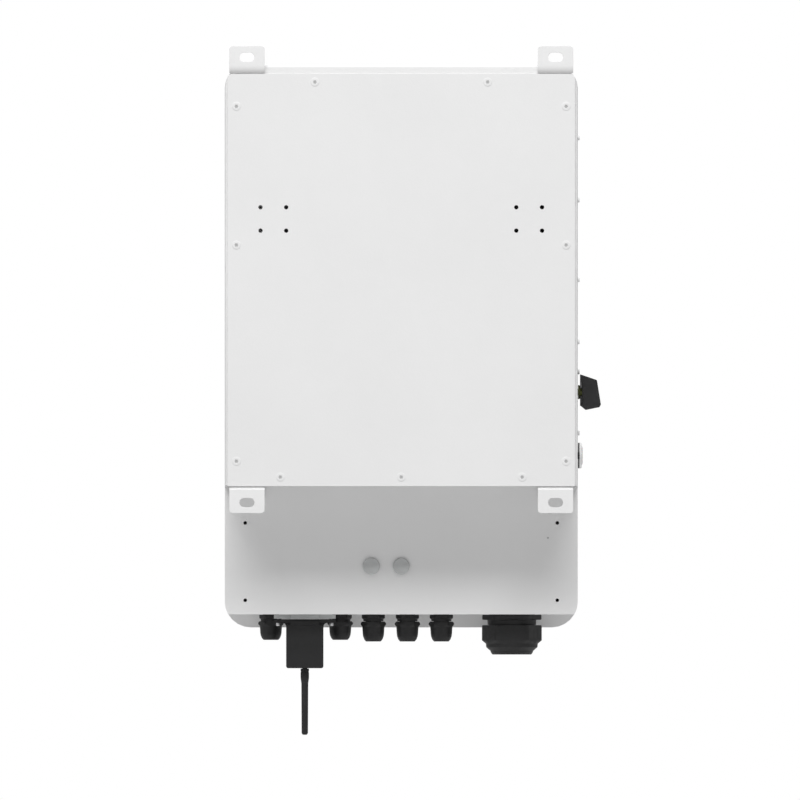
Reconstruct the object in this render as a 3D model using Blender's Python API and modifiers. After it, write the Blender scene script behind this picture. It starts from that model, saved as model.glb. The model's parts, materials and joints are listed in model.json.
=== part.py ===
"""Wall-hung string inverter, in metres.

+Z is up, the wall plane is y = 0 and the front of the inverter looks along -Y.
The origin is the centre of the four hanging slots, on the wall plane.
"""

import math

import bmesh
import bpy
from mathutils import Matrix

# Case
HALF_WIDTH = 0.210
TOP = 0.2555
FLOOR = -0.398
LIP_BOTTOM = -0.4135
FRONT = -0.233
TOP_RADIUS = 0.027
BOTTOM_RADIUS = 0.031
SHEET = 0.002
GAP = 0.0003
CASE_REAR = -0.088
CASE_FRONT = -0.188
RIM = 0.014
SEAM = -0.232
SEAM_RIM = 0.013
COVER_WALL = 0.0025
COVER_ROUND = 0.008

# Air duct, back plate and hanging lugs
DUCT_BOTTOM = -0.2456
DUCT_ROUND = 0.003
PLATE_REAR = -0.003
PLATE_SHEET = 0.0015
PLATE_HALF_WIDTH = 0.2069
PLATE_TOP = 0.2455
PLATE_CORNER = 0.007
PLATE_FOOT_CORNER = 0.0015
PLATE_HOLE_XS = (0.1369, 0.1675)
PLATE_HOLE_ZS = (0.0586, 0.0864)
PLATE_HOLE_RADIUS = 0.0026
SLOT_X = 0.1836
SLOT_Z = 0.265
SLOT_LENGTH = 0.018
SLOT_WIDTH = 0.011
LUG_HALF_WIDTH = 0.021
LUG_TOP = 0.2785
LUG_BOTTOM = -0.2775
LUG_SHEET = 0.0025
LUG_CORNER = 0.004
LUG_BEND_TOP = 0.255
LUG_LEG_TOP = -0.2482
LUG_JOG = -0.0045
LUG_FOOT_LOW = -0.2575

# Fans and heat sink
FAN_SIZE = 0.080
FAN_DEPTH = 0.025
FAN_BORE = 0.0385
FAN_HUB = 0.018
FAN_BLADES = 7
FAN_Y = -0.0473
FAN_ZS = {"upper": 0.132, "lower": -0.0366}
FAN_X = -HALF_WIDTH + SHEET + GAP + FAN_DEPTH / 2
SINK_HALF_WIDTH = 0.165
SINK_BOTTOM = -0.205
SINK_FINS = 20
SINK_PITCH = 0.021
SINK_FIN = 0.002
SINK_BASE = 0.009
SINK_TIP = -0.013

OUTLET_ROWS = 14
OUTLET_LOW = -0.184
OUTLET_PITCH = 0.028
OUTLET_LENGTH = 0.030
OUTLET_WIDTH = 0.006
OUTLET_YS = (-0.065, -0.028)

# Controls on the left side
SIDE_Y = -0.137
SWITCH_Z = -0.1335
BUTTON_Z = -0.209
BUTTON_TRAVEL = 0.002

# Display
DISPLAY_Z = 0.020
DISPLAY_SIZE = (0.092, 0.056)
KEY_Z = -0.040
KEY_XS = {"key_escape": -0.036, "key_up": -0.012, "key_down": 0.012, "key_enter": 0.036}
KEY_RADIUS = 0.0055
KEY_PROUD = 0.0012
LIGHT_Z = 0.068

# Cable entries and data logger, named from the inverter's right end
GLAND_REAR_Y = -0.137
GLAND_FRONT_Y = -0.152
SHORT_NUTS = {"gland_1": 0.94, "gland_2": 0.94}
SMALL_GLANDS = {
    "gland_1": (0.1551, GLAND_FRONT_Y),
    "gland_2": (0.0726, GLAND_FRONT_Y),
    "gland_3": (0.0332, GLAND_REAR_Y),
    "gland_4": (-0.0073, GLAND_REAR_Y),
    "gland_5": (-0.0477, GLAND_REAR_Y),
}
BATTERY_GLAND = (-0.1316, GLAND_REAR_Y)
LOGGER_X = 0.1148
LOGGER_Y = -0.117
LOGGER_EAR = 0.0368
LOGGER_SCREW = 0.0316
BREATHER_XS = {"breather_right": 0.0356, "breather_left": 0.0}
BREATHER_Z = -0.3405
BREATHER_RADIUS = 0.010
PANEL_HOLE_X = 0.1857
PANEL_HOLE_ZS = (-0.3812, -0.2892)
PANEL_HOLE_RADIUS = 0.00215

AXIS_FRAMES = {
    "X": Matrix(((0, 0, 1, 0), (1, 0, 0, 0), (0, 1, 0, 0), (0, 0, 0, 1))),
    "Y": Matrix(((1, 0, 0, 0), (0, 0, -1, 0), (0, 1, 0, 0), (0, 0, 0, 1))),
    "Z": Matrix.Identity(4),
}

for old in list(bpy.data.objects):
    bpy.data.objects.remove(old, do_unlink=True)

PARTS = bpy.data.collections.new("string_inverter")
CUTTERS = bpy.data.collections.new("cutters")
bpy.context.scene.collection.children.link(PARTS)
bpy.context.scene.collection.children.link(CUTTERS)


# ---------------------------------------------------------------- materials

def make_material(name, color, roughness, metallic=0.0, alpha=1.0):
    material = bpy.data.materials.new(name)
    material.use_nodes = True
    shader = material.node_tree.nodes["Principled BSDF"]
    shader.inputs["Base Color"].default_value = (*color, 1.0)
    shader.inputs["Roughness"].default_value = roughness
    shader.inputs["Metallic"].default_value = metallic
    shader.inputs["Alpha"].default_value = alpha
    return material


WHITE_PAINT = make_material("white_paint", (0.80, 0.80, 0.80), 0.55)
BARE_ALUMINIUM = make_material("bare_aluminium", (0.70, 0.71, 0.72), 0.40, 1.0)
STEEL = make_material("steel", (0.62, 0.62, 0.62), 0.35, 1.0)
BLACK_PLASTIC = make_material("black_plastic", (0.025, 0.025, 0.027), 0.45)
GREY_PLASTIC = make_material("grey_plastic", (0.42, 0.43, 0.43), 0.50)
OLIVE_PLASTIC = make_material("olive_plastic", (0.10, 0.11, 0.03), 0.50)
SILICONE = make_material("silicone", (0.72, 0.73, 0.73), 0.60)
RUBBER = make_material("black_rubber", (0.03, 0.03, 0.03), 0.80)
BOARD_GREEN = make_material("board_green", (0.03, 0.16, 0.07), 0.45)
COPPER_WIRE = make_material("copper_wire", (0.55, 0.24, 0.09), 0.35, 1.0)
FERRITE = make_material("ferrite", (0.06, 0.06, 0.065), 0.60)
SCREEN = make_material("screen", (0.08, 0.12, 0.10), 0.20)
CLEAR = make_material("clear_plastic", (0.85, 0.88, 0.88), 0.05, 0.0, 0.35)


# ---------------------------------------------------------------- outlines

def arc(cx, cy, radius, start, end, steps=6):
    """Points on an arc, in degrees, with both of its ends."""
    if radius <= 0:
        return [(cx, cy)]
    angles = [math.radians(start + (end - start) * step / steps) for step in range(steps + 1)]
    return [(cx + radius * math.cos(angle), cy + radius * math.sin(angle)) for angle in angles]


def circle(cx, cy, radius, steps=16):
    return arc(cx, cy, radius, 0, 360 - 360 / steps, steps - 1)


def rectangle(x0, x1, y0, y1, radius=0.0, steps=3):
    return (
        arc(x1 - radius, y0 + radius, radius, -90, 0, steps)
        + arc(x1 - radius, y1 - radius, radius, 0, 90, steps)
        + arc(x0 + radius, y1 - radius, radius, 90, 180, steps)
        + arc(x0 + radius, y0 + radius, radius, 180, 270, steps)
    )


def obround(cx, cy, length, width, steps=4):
    """A slot along the first axis."""
    reach = (length - width) / 2
    return arc(cx + reach, cy, width / 2, -90, 90, steps) + arc(cx - reach, cy, width / 2, 90, 270, steps)


def ring_sector(cx, cy, inner, outer, start, end, steps=4):
    return arc(cx, cy, outer, start, end, steps) + arc(cx, cy, inner, end, start, steps)


def case_outline(inset, bottom, top):
    """The case's outline between two heights, set in by inset at the sides.

    It follows the case's round corners where it reaches them, and is square elsewhere.
    """
    low_z = LIP_BOTTOM + BOTTOM_RADIUS
    high_z = TOP - TOP_RADIUS
    low_radius = BOTTOM_RADIUS - inset
    high_radius = TOP_RADIUS - inset
    right = []
    if bottom < low_z:
        start = math.degrees(math.asin(max(-1.0, (bottom - low_z) / low_radius)))
        right += arc(HALF_WIDTH - BOTTOM_RADIUS, low_z, low_radius, start, 0)
    else:
        right.append((HALF_WIDTH - inset, bottom))
    if top > high_z:
        end = math.degrees(math.asin(min(1.0, (top - high_z) / high_radius)))
        right += arc(HALF_WIDTH - TOP_RADIUS, high_z, high_radius, 0, end)
    else:
        right.append((HALF_WIDTH - inset, top))
    return right + [(-x, z) for x, z in reversed(right)]


# ---------------------------------------------------------------- solids

def add_object(name, mesh, at, material):
    """Links a piece among the parts, or a tool among the cutters if it has no material."""
    piece = bpy.data.objects.new(name, mesh)
    piece.location = at
    if material is None:
        CUTTERS.objects.link(piece)
        piece.hide_render = True
        piece.display_type = "WIRE"
    else:
        PARTS.objects.link(piece)
        mesh.materials.append(material)
    return piece


def prism(name, outlines, axis, low, high, material=None, at=(0, 0, 0)):
    """Flat outlines, the later ones holes in the first, extruded along an axis of the model."""
    curve = bpy.data.curves.new(name, "CURVE")
    curve.dimensions = "2D"
    curve.fill_mode = "BOTH"
    curve.extrude = (high - low) / 2
    for outline in outlines:
        spline = curve.splines.new("POLY")
        spline.points.add(len(outline) - 1)
        spline.use_cyclic_u = True
        for point, (first, second) in zip(spline.points, outline):
            point.co = (first, second, 0, 1)
    guide = bpy.data.objects.new(name + "_guide", curve)
    CUTTERS.objects.link(guide)
    bpy.context.view_layer.update()
    mesh = bpy.data.meshes.new_from_object(guide.evaluated_get(bpy.context.evaluated_depsgraph_get()))
    bpy.data.objects.remove(guide, do_unlink=True)
    middle = (low + high) / 2
    offset = -middle if axis == "Y" else middle
    mesh.transform(AXIS_FRAMES[axis] @ Matrix.Translation((0, 0, offset)))
    body = bmesh.new()
    body.from_mesh(mesh)
    bmesh.ops.remove_doubles(body, verts=body.verts, dist=0.000001)
    if len(outlines) == 1:
        bmesh.ops.dissolve_limit(body, angle_limit=0.01, verts=body.verts, edges=body.edges)
    bmesh.ops.recalc_face_normals(body, faces=body.faces)
    body.to_mesh(mesh)
    body.free()
    mesh.name = name
    return add_object(name, mesh, at, material)


def box(name, low, high, material=None, at=(0, 0, 0)):
    body = bmesh.new()
    size = [high[axis] - low[axis] for axis in range(3)]
    middle = [(high[axis] + low[axis]) / 2 for axis in range(3)]
    frame = Matrix.Translation(middle) @ Matrix.Diagonal((*size, 1.0))
    bmesh.ops.create_cube(body, size=1.0, matrix=frame)
    mesh = bpy.data.meshes.new(name)
    body.to_mesh(mesh)
    body.free()
    return add_object(name, mesh, at, material)


def turned(name, profile, axis, material=None, at=(0, 0, 0), steps=16, closed=False):
    """A (radius, height) profile turned about an axis; heights run along that axis.

    The profile runs down its outer side, from the high end to the low one. A closed profile is
    the section of a ring; an open one starts and ends on the axis.
    """
    mesh = bpy.data.meshes.new(name)
    corners = [(radius, 0.0, height) for radius, height in profile]
    links = [(index, index + 1) for index in range(len(corners) - 1)]
    if closed:
        links.append((len(corners) - 1, 0))
    mesh.from_pydata(corners, links, [])
    piece = add_object(name, mesh, at, material)
    piece.rotation_euler = TURNING[axis]
    screw = piece.modifiers.new("turn", "SCREW")
    screw.axis = "Z"
    screw.angle = math.tau
    screw.steps = steps
    screw.render_steps = steps
    screw.use_merge_vertices = True
    screw.merge_threshold = 0.00001
    screw.use_normal_calculate = False
    screw.use_smooth_shade = True
    return piece


# Rotations that carry a turned piece's own Z onto an axis of the model.
TURNING = {"X": (0, math.pi / 2, 0), "Y": (-math.pi / 2, 0, 0), "Z": (0, 0, 0)}


def boolean(piece, tool, operation):
    modifier = piece.modifiers.new(operation.lower(), "BOOLEAN")
    modifier.operation = operation
    modifier.solver = "EXACT"
    modifier.object = tool


def cut(piece, *tools):
    for tool in tools:
        boolean(piece, tool, "DIFFERENCE")


def unite(piece, *tools):
    for tool in tools:
        boolean(piece, tool, "UNION")


def round_rim(piece, y, width, segments=3):
    """Rounds the outer edges of a Y prism at one of its two ends."""
    body = bmesh.new()
    body.from_mesh(piece.data)
    edges = []
    for edge in body.edges:
        at_end = all(abs(corner.co.y - y) < 0.00001 for corner in edge.verts)
        if at_end and edge.calc_face_angle(0.0) > 1.0:
            edges.append(edge)
    bmesh.ops.bevel(body, geom=edges, offset=width, segments=segments, profile=0.5, affect="EDGES")
    body.to_mesh(piece.data)
    body.free()


# ---------------------------------------------------------------- case and covers

def make_case_body():
    """Sheet-metal box, open to the front, with a shelf between electronics and wiring."""
    case = prism("case_body", [case_outline(0, FLOOR, TOP)], "Y", CASE_FRONT, CASE_REAR, WHITE_PAINT)
    flange = prism(
        "case_flange", [case_outline(0, LIP_BOTTOM, TOP)], "Y", CASE_FRONT, CASE_FRONT + SHEET
    )
    unite(case, flange)
    cavity_y = (CASE_FRONT + SHEET, CASE_REAR - SHEET)
    upper = case_outline(SHEET, SEAM + SHEET / 2, TOP - SHEET)
    lower = case_outline(SHEET, FLOOR + SHEET, SEAM - SHEET / 2)
    cut(case, prism("upper_cavity", [upper], "Y", *cavity_y))
    cut(case, prism("lower_cavity", [lower], "Y", *cavity_y))
    mouth_y = (CASE_FRONT - SHEET, CASE_FRONT + 2 * SHEET)
    upper_mouth = case_outline(RIM, SEAM + SEAM_RIM, TOP - RIM)
    lower_mouth = case_outline(RIM, FLOOR + RIM, SEAM - SEAM_RIM)
    cut(case, prism("upper_mouth", [upper_mouth], "Y", *mouth_y))
    cut(case, prism("lower_mouth", [lower_mouth], "Y", *mouth_y))

    entries = [circle(x, y, 0.0102) for x, y in SMALL_GLANDS.values()]
    entries.append(circle(*BATTERY_GLAND, 0.0280, 24))
    entries.append(rectangle(LOGGER_X - 0.013, LOGGER_X + 0.013, LOGGER_Y - 0.007, LOGGER_Y + 0.007))
    for index, entry in enumerate(entries):
        cut(case, prism(f"entry_{index}", [entry], "Z", FLOOR - SHEET, FLOOR + 2 * SHEET))

    rear_y = (CASE_REAR - 2 * SHEET, CASE_REAR + SHEET)
    holes = [circle(x, BREATHER_Z, 0.006) for x in BREATHER_XS.values()]
    for z in PANEL_HOLE_ZS:
        holes.append(circle(PANEL_HOLE_X, z, PANEL_HOLE_RADIUS, 12))
        holes.append(circle(-PANEL_HOLE_X, z, PANEL_HOLE_RADIUS, 12))
    for index, hole in enumerate(holes):
        cut(case, prism(f"rear_hole_{index}", [hole], "Y", *rear_y))

    side_x = (-HALF_WIDTH - SHEET, -HALF_WIDTH + 2 * SHEET)
    cut(case, prism("switch_hole", [circle(SIDE_Y, SWITCH_Z, 0.0085)], "X", *side_x))
    cut(case, prism("button_hole", [circle(SIDE_Y, BUTTON_Z, 0.0055)], "X", *side_x))


def make_cover(name, bottom, top, material):
    """A pan whose front edge is rounded; its rim meets the case's front flange."""
    rim = CASE_FRONT - GAP
    cover = prism(name, [case_outline(0, bottom, top)], "Y", FRONT, rim, material)
    round_rim(cover, FRONT, COVER_ROUND)
    wall = COVER_WALL
    hollow = prism(
        name + "_hollow", [case_outline(wall, bottom + wall, top - wall)], "Y", FRONT + wall, rim + wall
    )
    round_rim(hollow, FRONT + wall, COVER_ROUND - wall)
    cut(cover, hollow)
    return cover


def make_gasket(name, bottom, top):
    """A flat sealing ring on the case's flange, just inside a cover's wall."""
    outer = case_outline(COVER_WALL + 0.001, bottom, top)
    inner = case_outline(RIM - 0.002, bottom + 0.008, top - 0.008)
    front = CASE_FRONT - GAP - 0.002
    prism(name, [outer, inner], "Y", front, CASE_FRONT - GAP, RUBBER)


def make_covers():
    gap = 0.0005
    front_cover = make_cover("front_cover", SEAM + gap, TOP, WHITE_PAINT)
    through = (FRONT - SHEET, FRONT + 2 * COVER_WALL)
    width, height = DISPLAY_SIZE
    window = rectangle(-width / 2, width / 2, DISPLAY_Z - height / 2, DISPLAY_Z + height / 2, 0.003)
    cut(front_cover, prism("window_cut", [window], "Y", *through))
    for name, x in KEY_XS.items():
        cut(front_cover, prism(name + "_cut", [circle(x, KEY_Z, KEY_RADIUS + GAP)], "Y", *through))
    cut(front_cover, prism("light_cut", [obround(0, LIGHT_Z, 0.0706, 0.0066)], "Y", *through))
    make_gasket("front_cover_gasket", SEAM + 0.004, TOP - 0.0035)
    make_cover("wiring_cover", LIP_BOTTOM, SEAM - gap, WHITE_PAINT)
    make_gasket("wiring_cover_gasket", LIP_BOTTOM + 0.0035, SEAM - 0.004)


def fan_slots(z):
    """Three broken rings of air slots in front of one fan."""
    sectors = []
    for inner, outer in ((0.009, 0.0145), (0.019, 0.0255), (0.030, 0.0365)):
        bridge = math.degrees(0.0022 / inner)
        for quarter in range(4):
            start = 45 + 90 * quarter + bridge
            end = 45 + 90 * (quarter + 1) - bridge
            sectors.append(ring_sector(FAN_Y, z, inner, outer, start, end))
    return sectors


def make_duct_housing():
    """Four walls of the air duct, with a rear flange for the back plate."""
    rear = PLATE_REAR - PLATE_SHEET - GAP
    front = CASE_REAR + GAP
    duct = prism("duct_housing", [case_outline(0, DUCT_BOTTOM, TOP)], "Y", front, rear, WHITE_PAINT)
    round_rim(duct, rear, DUCT_ROUND, 2)
    inside = case_outline(SHEET, DUCT_BOTTOM + SHEET, TOP - SHEET)
    cut(duct, prism("duct_hollow", [inside], "Y", front - SHEET, rear - SHEET))
    mouth = case_outline(0.016, DUCT_BOTTOM + 0.016, TOP - 0.0255)
    cut(duct, prism("duct_mouth", [mouth], "Y", rear - 2 * SHEET, rear + SHEET))
    inlet_x = (-HALF_WIDTH - SHEET, -HALF_WIDTH + 2 * SHEET)
    for place, z in FAN_ZS.items():
        cut(duct, prism(f"inlet_{place}", fan_slots(z), "X", *inlet_x))
    outlets = []
    for row in range(OUTLET_ROWS):
        z = OUTLET_LOW + row * OUTLET_PITCH
        outlets += [obround(y, z, OUTLET_LENGTH, OUTLET_WIDTH, 3) for y in OUTLET_YS]
    cut(duct, prism("outlet_slots", outlets, "X", HALF_WIDTH - 2 * SHEET, HALF_WIDTH + SHEET))


def make_back_plate():
    outline = []
    for side, angles in ((1, (0, 90)), (-1, (90, 180))):
        cx = side * (PLATE_HALF_WIDTH - PLATE_CORNER)
        outline += arc(cx, PLATE_TOP - PLATE_CORNER, PLATE_CORNER, *angles, 4)
    for side, angles in ((-1, (180, 270)), (1, (270, 360))):
        cx = side * (PLATE_HALF_WIDTH - PLATE_FOOT_CORNER)
        outline += arc(cx, DUCT_BOTTOM + PLATE_FOOT_CORNER, PLATE_FOOT_CORNER, *angles, 2)
    holes = []
    for x in PLATE_HOLE_XS:
        for z in PLATE_HOLE_ZS:
            holes.append(circle(x, z, PLATE_HOLE_RADIUS, 12))
            holes.append(circle(-x, z, PLATE_HOLE_RADIUS, 12))
    prism("back_plate", [outline] + holes, "Y", PLATE_REAR - PLATE_SHEET, PLATE_REAR, WHITE_PAINT)


def make_lug(name, x, profile, up):
    """A bracket bent from sheet: its side profile across its width, trimmed to a slotted outline."""
    lug = prism(name, [profile], "X", x - LUG_HALF_WIDTH, x + LUG_HALF_WIDTH, WHITE_PAINT)
    reach = LUG_HALF_WIDTH + SHEET
    slot = obround(x, SLOT_Z if up else -SLOT_Z, SLOT_LENGTH, SLOT_WIDTH, 6)
    boolean(lug, prism(name + "_slot", [slot], "Y", -0.004, 0.001), "DIFFERENCE")
    tip = LUG_TOP - LUG_CORNER if up else LUG_BOTTOM + LUG_CORNER
    far = LUG_TOP + SHEET if up else LUG_BOTTOM - SHEET
    for side, angles in ((1, (0, 90)), (-1, (180, 90))):
        cx = x + side * (LUG_HALF_WIDTH - LUG_CORNER)
        sign = 1 if up else -1
        corner = arc(cx, tip, LUG_CORNER, sign * angles[0], sign * angles[1], 4)
        corner += [(cx, far), (x + side * reach, far), (x + side * reach, tip)]
        cut(lug, prism(f"{name}_corner_{side}", [corner], "Y", -0.004, 0.001))


def make_lugs():
    """Upper lugs curve forward onto the duct's rear flange; lower lugs run forward under the duct."""
    foot = PLATE_REAR - PLATE_SHEET
    base = PLATE_TOP + GAP
    rise = LUG_BEND_TOP - base
    curve = [math.radians(15 * step) for step in range(6)]
    upper = [(0.0, LUG_TOP), (-LUG_SHEET, LUG_TOP), (-LUG_SHEET, LUG_BEND_TOP), (foot, LUG_BEND_TOP - 0.002)]
    upper.append((foot, base))
    bend = [(foot * (1 - math.cos(angle)), LUG_BEND_TOP - rise * math.sin(angle)) for angle in curve]
    upper += bend[::-1]

    root = CASE_REAR + GAP
    seat = DUCT_BOTTOM - GAP
    lower = arc(-0.0015, LUG_LEG_TOP - 0.0015, 0.0015, 0, 90, 3)
    lower += [(LUG_JOG, LUG_LEG_TOP), (LUG_JOG, seat), (root, seat), (root, LUG_FOOT_LOW)]
    lower += [(root + LUG_SHEET, LUG_FOOT_LOW), (root + LUG_SHEET, seat - LUG_SHEET)]
    lower += [(LUG_JOG - LUG_SHEET, seat - LUG_SHEET), (LUG_JOG - LUG_SHEET, LUG_LEG_TOP - LUG_SHEET)]
    lower += [(-LUG_SHEET, LUG_LEG_TOP - LUG_SHEET), (-LUG_SHEET, LUG_BOTTOM), (0.0, LUG_BOTTOM)]
    for side, x in {"right": SLOT_X, "left": -SLOT_X}.items():
        make_lug(f"lug_upper_{side}", x, upper, True)
        make_lug(f"lug_lower_{side}", x, lower, False)


# ---------------------------------------------------------------- cooling

def make_heat_sink():
    """Extruded comb whose fins run from side to side, along the air's way."""
    root = CASE_REAR + GAP
    face = root + SINK_BASE
    outline = [(root, SINK_BOTTOM)]
    for fin in range(SINK_FINS):
        low = SINK_BOTTOM + fin * SINK_PITCH
        high = low + SINK_FIN
        outline += [(SINK_TIP, low), (SINK_TIP, high), (face, high), (face, low + SINK_PITCH)]
    outline = outline[:-2]
    outline.append((root, outline[-1][1]))
    prism("heat_sink", [outline], "X", -SINK_HALF_WIDTH, SINK_HALF_WIDTH, BARE_ALUMINIUM)


def make_fan(place, z):
    """Axial fan: square frame with a hub on four struts, and a seven-blade rotor."""
    centre = (FAN_X, FAN_Y, z)
    half = FAN_SIZE / 2
    outer = rectangle(-half, half, -half, half, 0.004)
    bore = circle(0, 0, FAN_BORE, 24)
    depth = FAN_DEPTH / 2
    frame = prism(f"fan_frame_{place}", [outer, bore], "X", -depth, depth, BLACK_PLASTIC, centre)
    hub_x = (depth - 0.004, depth)
    unite(frame, prism(f"fan_mount_{place}", [circle(0, 0, FAN_HUB)], "X", *hub_x, at=centre))
    for index, angle in enumerate((45, 135, 225, 315)):
        strut = box(
            f"fan_strut_{place}_{index}", (hub_x[0], 0.010, -0.002), (hub_x[1], FAN_BORE + 0.001, 0.002),
            at=centre,
        )
        strut.rotation_euler = (math.radians(angle), 0, 0)
        unite(frame, strut)
    blade_x = (-depth + 0.003, depth - 0.005)
    rotor = prism(
        f"fan_rotor_{place}", [circle(0, 0, FAN_HUB, 24)], "X", *blade_x, BLACK_PLASTIC, centre
    )
    for index in range(FAN_BLADES):
        chord = 0.0095
        blade = box(f"fan_blade_{place}_{index}", (-chord, 0.015, -0.0008), (chord, 0.0365, 0.0008))
        pitch = Matrix.Rotation(math.radians(42), 4, "Y")
        blade.data.transform(Matrix.Translation((sum(blade_x) / 2, 0, 0)) @ pitch)
        blade.location = centre
        blade.rotation_euler = (math.tau * index / FAN_BLADES, 0, 0)
        unite(rotor, blade)


# ---------------------------------------------------------------- controls

def make_dc_switch():
    """Rotary isolator: contact block inside, collar on the wall, knob on a turning shaft."""
    axis = (0, SIDE_Y, SWITCH_Z)
    wall = -HALF_WIDTH
    inner = wall + SHEET + GAP
    block = box(
        "dc_switch_body", (inner, -0.024, -0.024), (inner + 0.052, 0.024, 0.024), BLACK_PLASTIC, axis
    )
    bore = prism("switch_bore", [circle(0, 0, 0.0042)], "X", inner - 0.001, inner + 0.020, at=axis)
    cut(block, bore)
    collar_x = (wall - 0.0022, wall - GAP)
    collar = [circle(0, 0, 0.0084, 24), circle(0, 0, 0.0045)]
    prism("dc_switch_collar", collar, "X", *collar_x, OLIVE_PLASTIC, axis)
    shaft_x = (wall - 0.016, inner + 0.019)
    prism("dc_switch_shaft", [circle(0, 0, 0.004)], "X", *shaft_x, STEEL, axis)
    knob_x = wall - 0.0027
    disc = [(0.0, knob_x), (0.019, knob_x), (0.019, knob_x - 0.004), (0.0175, knob_x - 0.006)]
    disc.append((0.0, knob_x - 0.006))
    knob = turned("dc_switch_knob", disc, "X", BLACK_PLASTIC, axis, 24)
    grip = [
        (knob_x, 0.0195), (knob_x - 0.0195, 0.0150), (knob_x - 0.0249, -0.0160),
        (knob_x - 0.0230, -0.0180), (knob_x - 0.0045, -0.0213), (knob_x, -0.0170),
    ]
    handle = prism("knob_grip", [grip], "Y", -0.0085, 0.0085, at=axis)
    round_rim(handle, -0.0085, 0.002, 2)
    round_rim(handle, 0.0085, 0.002, 2)
    unite(knob, handle)
    cut(knob, prism("knob_bore", [circle(0, 0, 0.0043)], "X", wall - 0.0165, wall, at=axis))


def make_power_button():
    """Push button: bezel ring on the wall, soft cap with a stem, and its switch inside."""
    axis = (0, SIDE_Y, BUTTON_Z)
    wall = -HALF_WIDTH
    profile = [
        (0.0120, wall - GAP), (0.0154, wall - GAP), (0.0154, wall - 0.0030), (0.0142, wall - 0.0046),
        (0.0120, wall - 0.0049),
    ]
    turned("power_button_ring", profile, "X", GREY_PLASTIC, axis, 32, True)
    low = wall - BUTTON_TRAVEL - 0.0006
    stem = wall + SHEET + 0.003
    profile = [
        (0.0, stem), (0.004, stem), (0.004, low), (0.0117, low),
        (0.0117, low - 0.0017), (0.0105, low - 0.0029), (0.007, low - 0.0034), (0.0, low - 0.0034),
    ]
    turned("power_button_cap", profile, "X", SILICONE, axis, 24)
    inner = wall + SHEET + GAP
    block = box(
        "power_button_switch", (inner, -0.012, -0.012), (inner + 0.022, 0.012, 0.012),
        BLACK_PLASTIC, axis,
    )
    well = prism("button_well", [circle(0, 0, 0.0045)], "X", inner - 0.001, inner + 0.0055, at=axis)
    cut(block, well)


def make_display():
    inner = FRONT + COVER_WALL
    width, height = DISPLAY_SIZE
    fit = (width / 2 - GAP, height / 2 - GAP)
    pane = rectangle(-fit[0], fit[0], DISPLAY_Z - fit[1], DISPLAY_Z + fit[1], 0.003)
    prism("display_window", [pane], "Y", FRONT + 0.0003, inner, CLEAR)
    reach = (width / 2 + 0.004, height / 2 + 0.004)
    module = rectangle(-reach[0], reach[0], DISPLAY_Z - reach[1], DISPLAY_Z + reach[1])
    prism("display_module", [module], "Y", inner + GAP, inner + 0.010, SCREEN)
    lens = prism("indicator_lens", [obround(0, LIGHT_Z, 0.070, 0.006)], "Y", FRONT, inner + 0.0005, CLEAR)
    unite(lens, prism("lens_back", [obround(0, LIGHT_Z, 0.074, 0.010)], "Y", inner + GAP, inner + 0.004))
    board = rectangle(-0.080, 0.080, KEY_Z - 0.020, LIGHT_Z + 0.014)
    board_y = inner + 0.0105
    prism("control_board", [board], "Y", board_y, board_y + 0.0016, BOARD_GREEN)
    for name, x in KEY_XS.items():
        flange = inner + GAP + 0.0002
        profile = [
            (0.0, flange + 0.007), (0.003, flange + 0.007), (0.003, flange + 0.0015),
            (0.0070, flange + 0.0015), (0.0070, flange), (KEY_RADIUS, flange),
            (KEY_RADIUS, FRONT - KEY_PROUD + 0.0006), (KEY_RADIUS - 0.0006, FRONT - KEY_PROUD),
            (0.0, FRONT - KEY_PROUD),
        ]
        turned(name, profile, "Y", GREY_PLASTIC, (x, 0, KEY_Z), 16)


# ---------------------------------------------------------------- electronics

def make_electronics():
    board_y = CASE_REAR - SHEET - 0.014
    board = rectangle(-0.140, 0.185, -0.205, 0.225)
    prism("power_board", [board], "Y", board_y - 0.002, board_y, BOARD_GREEN)
    top = board_y - 0.002 - GAP
    for index in range(3):
        centre = (0.135 - 0.050 * index, 0, 0.185)
        profile = [(0.0, top), (0.0175, top), (0.0175, top - 0.048), (0.0165, top - 0.050)]
        profile.append((0.0, top - 0.050))
        turned(f"bus_capacitor_{index + 1}", profile, "Y", BLACK_PLASTIC, centre, 20)
    for index, x in enumerate((0.120, 0.020)):
        rings = [circle(x, 0.080, 0.040, 24), circle(x, 0.080, 0.016, 16)]
        prism(f"inductor_{index + 1}", rings, "Y", top - 0.034, top, COPPER_WIRE)
    core = rectangle(-0.110, -0.040, 0.050, 0.110, 0.003)
    prism("transformer", [core], "Y", top - 0.052, top, FERRITE)


def terminal_strip(name, x0, x1, z0, ways, material):
    """A row of screw terminals on the rear wall, its cable mouths looking down."""
    rear = CASE_REAR - SHEET - GAP
    block = box(name, (x0, rear - 0.026, z0), (x1, rear, z0 + 0.032), material)
    pitch = (x1 - x0) / ways
    for way in range(ways):
        x = x0 + pitch * (way + 0.5)
        half = pitch * 0.34
        mouth = box(
            f"{name}_mouth_{way}", (x - half, rear - 0.020, z0 - 0.001), (x + half, rear - 0.007, z0 + 0.018)
        )
        cut(block, mouth)


# ---------------------------------------------------------------- cable entries

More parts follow.
